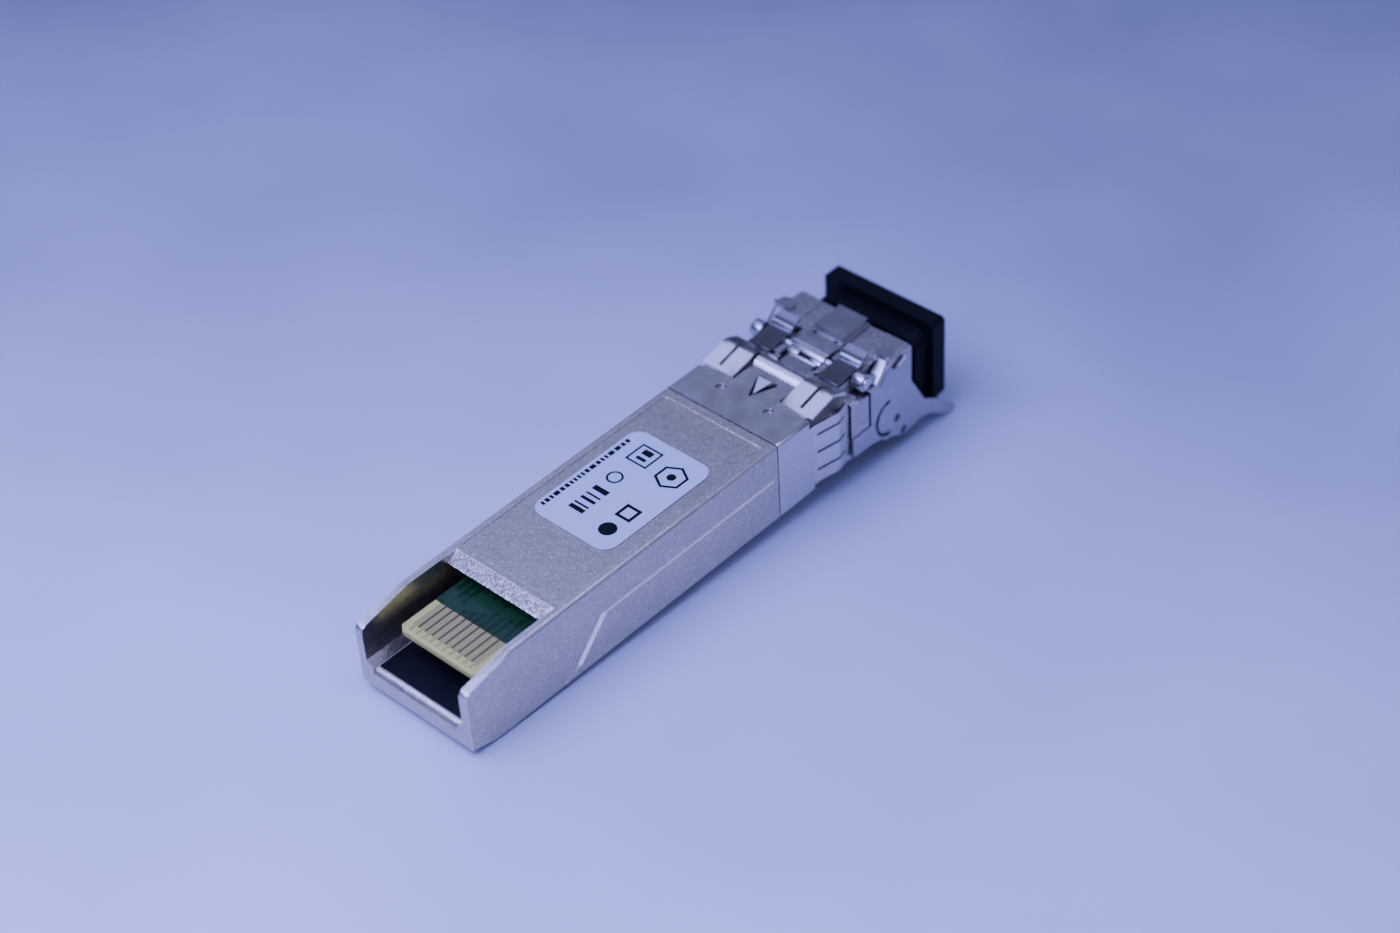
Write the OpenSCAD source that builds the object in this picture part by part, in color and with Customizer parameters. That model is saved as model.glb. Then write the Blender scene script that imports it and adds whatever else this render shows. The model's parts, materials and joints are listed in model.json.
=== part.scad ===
// Pluggable optical transceiver module with a bail latch and a duplex port.
// +X runs towards the optical port, +Z towards the host board side.
// X = 0 is the shoulder of the latch boss, Z = 0 the heat-sink face, Y = 0 the middle plane.

/* [Case] */
// Width of the case
case_w = 13.4; // [13.2:0.1:13.6]
// Height of the case
case_h = 8.5; // [8.4:0.05:8.6]
// Latch shoulder to the rear end of the case
case_back = 45; // [44:0.5:46]
// Latch shoulder to the seam between case and collar
case_front = 6.3; // [6.1:0.1:6.5]
// Wall of the two shells
case_wall = 0.8; // [0.7:0.05:0.9]
// Height of the floor inside the open tail
tail_floor = 3; // [2.8:0.1:3.2]
// Latch shoulder to the end of the roof, where the open tail starts
roof_back = 34.3; // [33.8:0.1:34.8]
// Height of the parting line along the sides
split_z = 4.85; // [4.6:0.05:5]
// Radius of the long edges
edge_r = 0.35; // [0.2:0.05:0.5]

/* [Circuit board] */
// Width of the contact tongue
board_w = 9.2; // [9:0.1:9.3]
// Width of the board inside the case
board_wide = 11.3; // [10.8:0.1:11.5]
// Thickness over solder mask
board_t = 1; // [0.9:0.05:1.1]
// Height of the board's contact face
board_top = 6.25; // [6.2:0.05:6.3]
// Latch shoulder to the contact end
board_back = 42; // [41.8:0.1:42.2]
// Latch shoulder to the front end
board_front = 13.7; // [13.6:0.1:14]
// Contacts on each face
contact_n = 10; // [8:1:10]
// Contact pitch
contact_pitch = 0.8; // [0.8:0.05:0.85]
// Contact width
contact_w = 0.6; // [0.5:0.05:0.65]
// Contact length
contact_l = 3.3; // [3:0.1:3.4]

/* [Optical port] */
// Latch shoulder to the front face of the port block
nose_front = 12.6; // [12.4:0.1:12.8]
// Distance between the two fibre axes
port_pitch = 6.25; // [6.25:0.05:6.3]
// Height of the fibre axes
port_z = 3.9; // [3.85:0.05:3.95]
// Side of each square port
port_w = 4.75; // [4.7:0.05:4.8]
// Bore that takes the fibre connector's ferrule
ferrule_d = 1.25; // [1.25:0.01:1.27]

/* [Latch] */
// Distance from the latch shoulder to the pivot
pivot_x = 6; // [5.95:0.05:6.05]
// Height of the pivot
pivot_z = 7.95; // [7.9:0.05:7.95]
// Diameter of the pivot pin
pin_d = 0.9; // [0.8:0.05:0.92]
// Height of the latch boss above the case
boss_h = 0.45; // [0.4:0.05:0.5]
// Length of the latch boss
boss_l = 1.9; // [1.6:0.1:2]
// Width of the latch boss at its shoulder
boss_w = 1.7; // [1.5:0.1:1.8]

/* [Collar] */
// Thickness of the spring sheet
collar_t = 0.2; // [0.15:0.05:0.2]
// Rise of the fingers on the host board side
finger_rise = 0.75; // [0.6:0.05:0.8]
// Rise of the fingers on the other three sides
side_rise = 0.55; // [0.4:0.05:0.6]

/* [Bail] */
// Thickness of the bail sheet
bail_t = 0.4; // [0.35:0.05:0.45]
// Radial play of turning fits
play = 0.05; // [0.04:0.01:0.08]

/* [Hidden] */
half_w = case_w / 2;
inner_w = half_w - case_wall;
gap = 0.05;
eps = 0.01;
pin_r = pin_d / 2;
bore_r = pin_r + play;
port_y = port_pitch / 2;
board_low = board_top - board_t;
mask_t = 0.05;
collar_front = 3.3;
finger_back = -1.45;
roof_z = case_h - case_wall;
recess_z = case_h - 0.12;
nose_half = half_w - 0.1;
bail_in = nose_half + 0.12;
bail_out = bail_in + bail_t;
knuckle_r = 0.85;
tube_front = 8;
sleeve_seat_r = 0.9;
screw_x = -27;
opening_angle = 55;
rock_angle = 5.9;
web_low = -2.9;
slope_low = [7.2, 7];
slope_high = [9, 8.65];
pad_end = 1;

// A box given by its two corners.
module block(low, high) {
    translate(low)
        cube(high - low);
}

// A flat outline in X and Z, made solid from y0 to y1.
module across(y0, y1) {
    translate([0, y1, 0])
        rotate([90, 0, 0])
            linear_extrude(y1 - y0)
                children();
}

// A flat outline in Y and Z, made solid from x0 to x1.
module along(x0, x1) {
    translate([x0, 0, 0])
        rotate([90, 0, 90])
            linear_extrude(x1 - x0)
                children();
}

// The shape and its mirror image on the other side of the middle plane.
module both_sides() {
    children();
    mirror([0, 1, 0])
        children();
}

// A round bar along Y through the latch pivot.
module pivot_bar(r, y0, y1) {
    translate([pivot_x, y0, pivot_z])
        rotate([-90, 0, 0])
            cylinder(r = r, h = y1 - y0, $fn = 48);
}

// A round bar along X at side y and height z.
module x_bar(r, x0, x1, y, z) {
    translate([x0, y, z])
        rotate([0, 90, 0])
            cylinder(r = r, h = x1 - x0, $fn = 64);
}

// A rectangle with round corners, from its two corners.
module round_rect(low, high, r) {
    size = high - low;
    union() {
        translate([low[0] + r, low[1]])
            square([size[0] - 2 * r, size[1]]);
        translate([low[0], low[1] + r])
            square([size[0], size[1] - 2 * r]);
        for (x = [low[0] + r, high[0] - r], y = [low[1] + r, high[1] - r])
            translate([x, y])
                circle(r = r, $fn = 32);
    }
}

// The case outline seen from the end, drawn in by a margin.
module case_outline(margin, r) {
    round_rect([margin - half_w, margin], [half_w - margin, case_h - margin], r);
}

// ---- Case shells ----

// The two shells together, with the hollow, the open tail and the label recess.
module case_solid() {
    tail_wall = 0.85;
    tail_half = half_w - tail_wall;
    floor_bevel = 0.7;
    difference() {
        along(-case_back, -case_front)
            case_outline(0, edge_r);
        block([-roof_back - 1, -inner_w, case_wall], [1 - case_front, inner_w, roof_z]);
        // open tail with bevelled floor edges, a rounded rear sill and the sloped end of the roof
        intersection() {
            across(-tail_half, tail_half)
                polygon([[-case_back - 1, tail_floor - 1.2], [-case_back, tail_floor - 0.75],
                         [0.06 - case_back, tail_floor - 0.52], [0.2 - case_back, tail_floor - 0.3],
                         [0.42 - case_back, tail_floor - 0.12], [0.7 - case_back, tail_floor],
                         [-roof_back - 0.6, tail_floor], [-roof_back - 0.6, roof_z - eps],
                         [0.65 - roof_back, case_h], [0.65 - roof_back, case_h + 1],
                         [-case_back - 1, case_h + 1]]);
            along(-case_back - 2, 0)
                polygon([[floor_bevel - tail_half, 0], [tail_half - floor_bevel, 0],
                         [tail_half - floor_bevel, tail_floor], [tail_half, tail_floor + floor_bevel],
                         [tail_half, case_h + 2], [-tail_half, case_h + 2],
                         [-tail_half, tail_floor + floor_bevel], [floor_bevel - tail_half, tail_floor]]);
        }
        // lead-in slopes at the rear end
        across(-half_w - 1, half_w + 1)
            polygon([[-case_back - 1, -1], [-case_back - 1, 1.33], [-41.3, 0], [-41.3, -1]]);
        across(-half_w - 1, half_w + 1)
            polygon([[-case_back - 1, 6.8], [-case_back, 6.9], [0.15 - case_back, 7.15],
                     [0.5 - case_back, 7.42], [-39.5, case_h], [-39.5, case_h + 1],
                     [-case_back - 1, case_h + 1]]);
        // shallow recess for the label
        translate([0, 0, recess_z])
            linear_extrude(1)
                round_rect([1.3 - roof_back, 0.75 - half_w], [-case_front - 0.9, half_w - 0.75], 0.4);
    }
}

// Side view of the space that belongs to the lower shell, grown by a gap.
module lower_side(grow) {
    polygon([[0, -1], [0, split_z + grow], [-28.8, split_z + grow], [-32.2 - grow, 1.2],
             [-34.2 - grow, 0.4 + grow], [-34.3 - grow, -1]]);
}

// V grooves where the two shells meet on the side faces, deepest on the slanted part.
module parting_grooves() {
    path = [[-case_front - 0.6, split_z], [-28.8, split_z], [-32.2, 1.2], [-34.2, 0.4]];
    depth = [0.15, 0.32, 0.15];
    both_sides()
        for (i = [0 : 2]) {
            run = path[i + 1] - path[i];
            side = depth[i] * sqrt(2);
            translate([path[i][0], half_w, path[i][1]])
                rotate([0, -atan2(run[1], run[0]), 0])
                    rotate([45, 0, 0])
                        translate([0, -side / 2, -side / 2])
                            cube([norm(run), side, side]);
        }
}

module screw_post(z0, z1, hole_r) {
    translate([screw_x, 0, z0])
        difference() {
            cylinder(r = 1.4, h = z1 - z0, $fn = 48);
            translate([0, 0, -1])
                cylinder(r = hole_r, h = z1 - z0 + 2, $fn = 48);
        }
}

module lower_shell() {
    post_top = board_low - gap;
    color("silver")
        difference() {
            union() {
                intersection() {
                    case_solid();
                    across(-half_w - 1, half_w + 1)
                        lower_side(0);
                }
                // seats that carry the board
                both_sides()
                    for (x = [-31.4, -19])
                        block([x, 4.7, case_wall - eps], [x + 1, inner_w - 0.1, post_top]);
                // pedestal that carries heat to the outside
                block([-24.8, -4, case_wall - eps], [-16.6, 4, 3.3]);
                screw_post(case_wall - eps, post_top, 0.6);
            }
            // counterbored hole for the case screw
            translate([screw_x, 0, -1])
                cylinder(r = 0.6, h = 3, $fn = 48);
            translate([screw_x, 0, -1])
                cylinder(r = 1.2, h = 1.45, $fn = 48);
            parting_grooves();
            // slot for the retainer plate
            block([-11.15, -inner_w - 0.3, case_wall - 0.2], [-10.3, inner_w + 0.3, split_z + 1]);
        }
}

module upper_shell() {
    ledge_z = board_top + gap;
    color("silver")
        difference() {
            union() {
                difference() {
                    case_solid();
                    across(-half_w - 1, half_w + 1)
                        lower_side(gap);
                }
                // ledges that press on the board's edges
                both_sides()
                    block([-33, 5.1, ledge_z], [-14.5, inner_w + eps, roof_z + eps]);
                screw_post(ledge_z, roof_z + eps, 0.5);
            }
            translate([screw_x, 0, ledge_z - 1])
                cylinder(r = 0.5, h = roof_z + 0.3 - ledge_z + 1, $fn = 48);
            parting_grooves();
            block([-11.15, -inner_w - 0.3, split_z - 1], [-10.3, inner_w + 0.3, roof_z + 0.2]);
        }
}

module case_screw() {
    head_h = 0.35;
    color("dimgray")
        translate([screw_x, 0, 0.44 - head_h])
            difference() {
                union() {
                    cylinder(r = 1.1, h = head_h, $fn = 48);
                    cylinder(r = 0.48, h = 7.4, $fn = 48);
                }
                for (a = [0, 90])
                    rotate([0, 0, a])
                        translate([-0.7, -0.14, -1])
                            cube([1.4, 0.28, 1.22]);
            }
}

module label() {
    color("whitesmoke")
        translate([0, 0, recess_z + eps])
            linear_extrude(0.09)
                round_rect([-26, -4.6], [-12.1, 4.8], 1.4);
}

module insulator_film() {
    color([0.08, 0.08, 0.09])
        block([0.75 - case_back, -5, tail_floor + eps], [-roof_back - 0.9, 5, tail_floor + 0.09]);
}

// ---- Circuit board ----

// Board outline seen from above: wide in the case, narrow at the contacts.
module board_outline() {
    chamfer = 0.4;
    difference() {
        union() {
            translate([-33.2, -board_wide / 2])
                square([33.2 - board_front, board_wide]);
            polygon([[-33, -board_w / 2], [-33, board_w / 2],
                     [chamfer - board_back, board_w / 2], [-board_back, board_w / 2 - chamfer],
                     [-board_back, chamfer - board_w / 2], [chamfer - board_back, -board_w / 2]]);
        }
        translate([screw_x, 0])
            circle(r = 0.75, $fn = 48);
    }
}

module circuit_board() {
    bevel = 0.2;
    bevel_l = 0.35;
    low = board_low + mask_t;
    high = board_top - mask_t;
    color("wheat")
        difference() {
            translate([0, 0, low])
                linear_extrude(high - low)
                    board_outline();
            // bevelled contact end
            across(-board_w, board_w)
                polygon([[-board_back - 1, low - 1], [bevel_l - board_back, low - 1],
                         [bevel_l - board_back, low], [-board_back, low + bevel],
                         [-board_back - 1, low + bevel]]);
            across(-board_w, board_w)
                polygon([[-board_back - 1, high + 1], [bevel_l - board_back, high + 1],
                         [bevel_l - board_back, high], [-board_back, high - bevel],
                         [-board_back - 1, high - bevel]]);
        }
}

module solder_mask() {
    color("darkgreen")
        for (z = [board_low, board_top - mask_t])
            translate([0, 0, z])
                linear_extrude(mask_t)
                    intersection() {
                        board_outline();
                        translate([pad_end + contact_l - board_back, -board_wide])
                            square([board_back, 2 * board_wide]);
                    }
}

module contact_pads() {
    tail_w = 0.16;
    color("gold")
        for (z = [board_low, board_top - mask_t], i = [0 : contact_n - 1])
            translate([pad_end - board_back, (i - (contact_n - 1) / 2) * contact_pitch, z])
                linear_extrude(mask_t)
                    union() {
                        translate([0, -contact_w / 2])
                            square([contact_l - gap, contact_w]);
                        translate([0.36 - pad_end, -tail_w / 2])
                            square([pad_end - 0.3, tail_w]);
                    }
}

// A chip under the board, centred at x, y.
module chip(x, y, l, w, h) {
    translate([x - l / 2, y - w / 2, board_low - h - eps])
        cube([l, w, h]);
}

module controller_chip() {
    color("dimgray")
        chip(-22.2, 0.5, 5, 5, 0.9);
}

module laser_driver_chip() {
    color("dimgray")
        chip(-16.5, 4.1, 2.2, 2.6, 0.85);
}

module receiver_amp_chip() {
    color("dimgray")
        chip(-16.5, -4.1, 2.2, 2.6, 0.85);
}

module memory_chip() {
    color("dimgray")
        translate([-19.2, -1.5, board_top + eps])
            cube([2, 3, 0.6]);
}

module board_passives() {
    size = [1, 0.5, 0.5];
    color("tan")
        union() {
            // rows of small parts on the host board side
            for (i = [0 : 3], y = [-3.6, 3.1])
                translate([-32 + i * 1.6, y, board_top + eps])
                    cube(size);
            for (i = [0 : 2], y = [-3.6, 3.1])
                translate([-20.5 + i * 1.5, y, board_top + eps])
                    cube(size);
            // rows on the other side
            for (i = [0 : 3], y = [-4.2, 3.7])
                translate([-29.8 + i * 1.4, y, board_low - size[2] - eps])
                    cube(size);
        }
}

module thermal_pad() {
    color("lightblue")
        block([-24.6, -2.4, 3.3 + eps], [-19.7, 3.2, board_low - 0.9 - 2 * eps]);
}

// ---- Optics ----

// Rear half of a receptacle: barrel, flange and the spigot that closes the sleeve's rear end.
module receptacle(y) {
    difference() {
        union() {
            x_bar(1.85, -3.9, 0.21, y, port_z);
            x_bar(2.1, 0.2, 1, y, port_z);
            x_bar(sleeve_seat_r - 0.02, 0.99, 2.4, y, port_z);
        }
        x_bar(0.3, -5, 3, y, port_z);
        x_bar(1.2, -5, -2.6, y, port_z);
    }
}

module tx_receptacle() {
    color("lightsteelblue")
        receptacle(port_y);
}

module rx_receptacle() {
    color("lightsteelblue")
        receptacle(-port_y);
}

// Front half of a receptacle: the tube that guides the ferrule, with a lip that keeps the sleeve in.
module guide_tube(y) {
    difference() {
        x_bar(1.45, 1 + eps, tube_front, y, port_z);
        x_bar(sleeve_seat_r, 0, tube_front - 0.5, y, port_z);
        x_bar(0.76, 0, tube_front + 1, y, port_z);
    }
}

module tx_guide_tube() {
    color("lightsteelblue")
        guide_tube(port_y);
}

module rx_guide_tube() {
    color("lightsteelblue")
        guide_tube(-port_y);
}

module ferrule_sleeves() {
    slit = 0.25;
    color("white")
        both_sides()
            difference() {
                x_bar(0.87, 2.45, tube_front - 0.55, port_y, port_z);
                x_bar(ferrule_d / 2, 0, 10, port_y, port_z);
                block([0, port_y - slit / 2, port_z], [10, port_y + slit / 2, port_z + 2]);
            }
}

// Sealed metal can on its header, with four leads.
module can(y) {
    lead_ring = 1;
    difference() {
        union() {
            x_bar(2.3, -9.6, -3.95, y, port_z);
            x_bar(2.65, -10.25, -9.56, y, port_z);
            for (a = [45 : 90 : 315])
                x_bar(0.2, -11.9, -10, y + lead_ring * cos(a), port_z + lead_ring * sin(a));
        }
        x_bar(0.8, -5, 0, y, port_z);
    }
}

module laser_can() {
    color("goldenrod")
        can(port_y);
}

module photodiode_can() {
    color("goldenrod")
        can(-port_y);
}

// Flexible circuit from the leads of a can to the underside of the board.
module flex(y) {
    t = 0.12;
    r = 0.9;
    steps = 8;
    back_x = -12;
    top = board_low - eps;
    bend = [for (i = [0 : steps]) i * 90 / steps];
    outer = [for (a = bend) [back_x - r + r * cos(a), top - r + r * sin(a)]];
    inner = [for (i = [steps : -1 : 0]) [back_x - r + (r - t) * cos(bend[i]), top - r + (r - t) * sin(bend[i])]];
    across(y - 1.8, y + 1.8)
        polygon(concat([[back_x, 2.3]], outer, [[-15.2, top], [-15.2, top - t]], inner, [[back_x - t, 2.3]]));
}

module tx_flex() {
    color("darkorange")
        flex(port_y);
}

module rx_flex() {
    color("darkorange")
        flex(-port_y);
}

module osa_retainer() {
    color("gray")
        difference() {
            block([-11.1, -inner_w - 0.2, case_wall - 0.15], [-10.35, inner_w + 0.2, roof_z + 0.1]);
            for (y = [-port_y, port_y])
                x_bar(1.6, -12, -9, y, port_z);
        }
}

// ---- Port block ----

module port_hollow(y) {
    half = port_w / 2;
    depth_x = 3.6;
    // square port with its lead-in
    block([depth_x, y - half, port_z - half], [nose_front + 1, y + half, port_z + half]);
    along(nose_front - 0.35, nose_front + 1)
        translate([y - half - 0.2, port_z - half - 0.2])
            square(port_w + 0.4);
    // slot and catch pocket for the connector's latch
    block([6.4, y - 1.4, 0.65], [nose_front + 1, y + 1.4, port_z]);
    block([6.4, y - 2.1, 0.65], [8.9, y + 2.1, port_z]);
    block([8.9, y - 1.4, -0.15], [nose_front + 1, y + 1.4, port_z]);
}

module optics_hollow(y) {
    x_bar(2.4, -10, -3.85, y, port_z);
    x_bar(2.2, -4, 1.05, y, port_z);
    x_bar(1.52, 0, 5, y, port_z);
}

module port_nose() {
    top = case_h - 0.2;
    finger_tips = 2.75;
    color("gainsboro")
        difference() {
            union() {
                block([-9.5, gap - inner_w, case_wall + gap], [0.5 - case_front, inner_w - gap, roof_z - gap]);
                // core under the collar, lower where the finger tips bend in
                along(0.45 - case_front, finger_tips)
                    case_outline(collar_t + gap, 0.2);
                along(finger_tips - eps, collar_front + 0.2)
                    case_outline(collar_t + gap + 0.1, 0.2);
                // port block, deeper than the case at the front
                across(-nose_half, nose_half)
                    polygon([[collar_front + 0.1, 0.3], [7.8, 0.3], [8.8, -0.7], [nose_front - 0.3, -0.7],
                             [nose_front, -0.4], [nose_front, top - 0.15], [nose_front - 0.2, top + 0.05],
                             [8.2, top + 0.05], [8.2, top], [collar_front + 0.1, top]]);
                both_sides() {
                    // raised corner pads on top of the port block
                    across(3.85, nose_half - 0.2)
                        polygon([[8.95, top - 1], [8.95, top + 0.25], [12.3, top + 0.25],
                                 [nose_front, top - 0.05], [nose_front, top - 1]]);
                    // side pads behind the bail plates
                    across(nose_half - 0.5, bail_out - 0.1)
                        polygon([[3.55, 3.1], [3.55, 7], [5.95, 7], [5.95, 3.1]]);
                }
            }
            for (y = [-port_y, port_y]) {
                port_hollow(y);
                optics_hollow(y);
            }
            // channel for the latch lever and its spring
            block([-2.9, -1.75, 6.45], [4.5, 1.75, case_h + 1]);
            block([4, -2.1, 6.7], [8, 2.1, case_h + 1]);
            // saddle for the pivot pin, open at the top
            pivot_bar(bore_r, -half_w - 1, half_w + 1);
            block([pivot_x - bore_r, -half_w - 1, pivot_z], [pivot_x + bore_r, half_w + 1, case_h + 1]);
            both_sides() {
                // room for the bail's knuckle and shoulder
                block([pivot_x - 1.35, 5.5, 6.7], [8.95, half_w + 1, case_h + 1]);
                block([8.9, 5.6, 7.9], [9.5, half_w + 1, case_h + 1]);
                // open corner between the collar's top and side fingers
                block([-1.6, 5.6, 7.2], [4.8, half_w + 1, case_h + 1]);
                // pockets beside the lever
                block([3.5, 2.4, 7.9], [4.1, 4, case_h + 1]);
                block([6.6, 2.7, 7.6], [8.2, 3.5, case_h + 1]);
            }
        }
}

// ---- Collar ----

// Side view of a sprung finger: ramp from back_x, crest of height h, slope down to front_x.
module finger(base, h, back_x, crest_x, front_x) {
    t = collar_t;
    translate([0, base])
        polygon([[back_x - 0.15, 0], [back_x - 0.15, t], [back_x, t], [crest_x - 0.55, t + h - 0.12],
                 [crest_x - 0.2, t + h - 0.01], [crest_x + 0.05, t + h], [crest_x + 0.35, t + h - 0.08],
                 [front_x, t + 0.1], [front_x, -0.1], [crest_x + 0.25, h - 0.08],
                 [crest_x, h], [crest_x - 0.15, h - 0.02], [crest_x - 0.5, h - 0.12], [back_x + 0.05, 0]]);
}

// Outline of the collar seen from above, with its slots and its opening for the boss.
module top_slots() {
    slot_w = 0.36;
    both_sides()
        block([-0.95, 4.72, 7], [2.6, 4.72 + slot_w, 11]);
    // opening that fits closely round the latch boss
    translate([0, 0, 7])
        linear_extrude(4)
            polygon([[-boss_l - 0.6, 0.1], [-0.05, boss_w / 2 + 0.3], [0.3, boss_w / 2 + 0.3],
                     [0.3, -boss_w / 2 - 0.3], [-0.05, -boss_w / 2 - 0.3], [-boss_l - 0.6, -0.1]]);
}

module emi_collar() {
    seam = 0.14;
    color("white")
        difference() {
            union() {
                along(seam - case_front, finger_back)
                    difference() {
                        case_outline(0, edge_r);
                        case_outline(collar_t, edge_r - collar_t + 0.05);
                    }
                // fingers on the host board side
                both_sides()
                    across(2.95, half_w - 0.1)
                        finger(case_h - collar_t, finger_rise, finger_back, 1.65, collar_front);
                // flat tongue round the boss, with a short ramp at its end
                block([finger_back - eps, -2.7, case_h - collar_t], [1.12, 2.7, case_h]);
                across(-2.7, 2.7)
                    finger(case_h - collar_t, 0.5, 1.1, 2.05, 2.9);
                // fingers on the sides
                both_sides()
                    translate([0, 0, 0.9])
                        linear_extrude(6.75)
                            finger(half_w - collar_t, side_rise, finger_back, 1.5, collar_front);
                // fingers on the heat-sink side
                translate([0, 0, case_h])
                    mirror([0, 0, 1])
                        across(-5.9, 5.9)
                            finger(case_h - collar_t, side_rise, finger_back, 1.5, collar_front);
            }
            top_slots();
            both_sides() {
                // notch that lets the corner open
                block([-1.95, 6.1, 7.6], [finger_back + eps, half_w + 1, case_h + 1]);
                // slots between the side fingers
                for (z = [2.35, 4.4, 6.45])
                    block([-1, half_w - 1, z - 0.14], [2.6, half_w + 2, z + 0.14]);
                // dimples that key the collar to the port block
                translate([-3.1, 2.86, 7])
                    cylinder(r = 0.48, h = 3, $fn = 32);
            }
            // slots between the fingers on the heat-sink side
            for (y = [-4, -2, 0, 2, 4])
                block([-1, y - 0.14, -2], [2.6, y + 0.14, 1]);
            // joint of the rolled sheet
            block([-case_front - 1, -0.05, -1], [finger_back + 0.5, 0.05, 1]);
        }
}

// ---- Latch ----

module latch_lever() {
    half = 1.95;
    tongue = 1.55;
    plate_z = case_h - 0.1;
    color("gainsboro")
        difference() {
            union() {
                // tongue under the collar, in line with the knuckle
                across(-tongue, tongue)
                    polygon([[-2.3, 7.55], [4.9, 7.55], [5.4, 7.35], [pivot_x, 7.35], [pivot_x, 8.3],
                             [5.2, 8.25], [4.8, 8.05], [-2.3, 8.05]]);
                // knuckle with two rolled ridges
                pivot_bar(0.66, -half, half);
                translate([pivot_x - 0.66, -half, pivot_z + 0.02])
                    rotate([-90, 0, 0])
                        cylinder(r = 0.42, h = 2 * half, $fn = 32);
                // lift plate and its raised tab
                across(-half, half)
                    polygon([[pivot_x + 0.1, plate_z], [12.2, plate_z], [12.3, plate_z + 0.1],
                             [12.3, plate_z + 0.28], [6.5, plate_z + 0.28], [pivot_x + 0.1, plate_z + 0.18]]);
                across(-1.7, 1.7)
                    polygon([[8.5, plate_z + 0.2], [8.65, 9.15], [12.3, 9.15], [12.45, 9], [12.45, 8.6],
                             [12.2, plate_z], [12, plate_z + 0.2]]);
                // latch boss, pointed towards the rear, with a ramp up to its shoulder
                intersection() {
                    translate([0, 0, 8.04])
                        linear_extrude(1)
                            polygon([[-boss_l, 0], [0, boss_w / 2], [0, -boss_w / 2]]);
                    across(-boss_w, boss_w)
                        polygon([[-boss_l - 1, 8], [-boss_l - 1, case_h - 0.3], [-boss_l, case_h - 0.15],
                                 [-0.35, case_h + boss_h], [1, case_h + boss_h], [1, 8]]);
                }
            }
            pivot_bar(bore_r, -half - 1, half + 1);
            // room for the cam finger of the pin
            block([5, -0.75, 6.5], [8.2, 0.75, plate_z - eps]);
            // relief holes beside the tab
            for (y = [-1.25, 1.25])
                translate([8.2, y, 8])
                    cylinder(r = 0.22, h = 2, $fn = 24);
        }
}

module latch_spring() {
    t = 0.14;
    low = 6.47;
    color("silver")
        across(-1.1, 1.1)
            polygon([[3.6, low], [3.6, low + t], [1, low + t], [0.4, low + 0.25], [-1.5, 7.52],
                     [-2, 7.3], [-1.95, 7.15], [-1.5, 7.52 - t - 0.05], [0.3, low + 0.08], [1, low]]);
}

// Side view of one pin clip: ramp, arch over the pin and raised wing.
module clip_side() {
    difference() {
        polygon([[3.5, 8.32], [4.5, 8.32], [5.3, 8.4], [6.7, 8.4], [7.25, 8.95], [8.2, 9.3], [8.1, 9.57],
                 [7.05, 9.2], [6.7, 8.78], [6.4, 8.7], [5.6, 8.7], [4.5, 8.58], [3.5, 8.58]]);
        translate([pivot_x, pivot_z])
            circle(r = bore_r, $fn = 48);
    }
}

module pin_clip_left() {
    color("slategray")
        across(2.9, 5.35)
            clip_side();
}

module pin_clip_right() {
    color("slategray")
        mirror([0, 1, 0])
            across(2.9, 5.35)
                clip_side();
}

// Side view of a bail plate: neck, broad cheek, arm and foot of the crossbar.
module bail_side() {
    disc_x = 8.8;
    disc_z = 2.4;
    difference() {
        polygon([[6.15, 7.2], [6.15, 2.95], [3.65, 2.95], [3.65, 0.8], [6.5, 0.75], [8.6, 0.15],
                     [10.2, -0.7], [11.3, -0.9], [13.3, -0.6], [15.1, -1.1], [17.4, web_low],
                     [18.25, web_low], [18.5, web_low + 0.25], [18.42, web_low + 0.7], [16.2, -0.1],
                     [13.9, 1.3], [11.55, 5.45], [11.55, 7.2], [11.35, 7.95], [10.1, 7.45], [9.3, 7.6],
                     slope_high, slope_low, [6.6, 7.25]]);
        // curved slit that frees the round detent tongue
        difference() {
            translate([disc_x, disc_z])
                circle(r = 2.05, $fn = 48);
            translate([disc_x, disc_z])
                circle(r = 1.65, $fn = 48);
            translate([disc_x + 0.1, disc_z - 3])
                square([4, 6]);
        }
        for (p = [[9.86, 1.6], [10.8, -0.33]])
            translate(p)
                circle(r = 0.42, $fn = 32);
    }
}

module bail_frame() {
    ear_z = case_h + 0.12;
    ear_t = 0.36;
    bend_r = 0.6;
    slope = atan2(slope_high[1] - slope_low[1], slope_high[0] - slope_low[0]);
    color("gainsboro")
        difference() {
            union() {
                both_sides() {
                    across(bail_in, bail_out)
                        bail_side();
                    // shoulder bent inwards over the port block
                    across(5.75, bail_out)
                        polygon([slope_low, slope_low + [0.28, -0.27], slope_high + [0.28, -0.35],
                                 [9.4, ear_z], [9.4, ear_z + ear_t], [9.2, ear_z + ear_t], slope_high]);
                    // knuckle rolled round the pin
                    pivot_bar(knuckle_r, 5.6, nose_half + 0.1);
                    across(5.6, nose_half + 0.1)
                        polygon([[pivot_x, pivot_z - knuckle_r], [6.6, 6.95], [7.5, 6.95],
                                 [7.8, 7.55], [pivot_x, pivot_z + knuckle_r - 0.1]]);
                    // round-ended ear
                    translate([0, 0, ear_z])
                        linear_extrude(ear_t)
                            round_rect([8.9, 5.2], [10.35, 6.9], 0.68);
                }
                // crossbar
                across(-bail_in - eps, bail_in + eps)
                    polygon([[17.72, web_low], [18.25, web_low], [18.5, web_low + 0.25],
                             [18.3, web_low + 0.38], [17.72, web_low + 0.38]]);
            }
            pivot_bar(pin_r + eps, -half_w - 1, half_w + 1);
            // round outer edge of the bend
            both_sides()
                translate([slope_low[0], bail_out - bend_r, slope_low[1]])
                    rotate([0, -slope, 0])
                        translate([0, 0, -bend_r])
                            difference() {
                                cube([2.6, 2, 2]);
                                rotate([0, 90, 0])
                                    cylinder(r = bend_r, h = 9, center = true, $fn = 48);
                            }
        }
}

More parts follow.
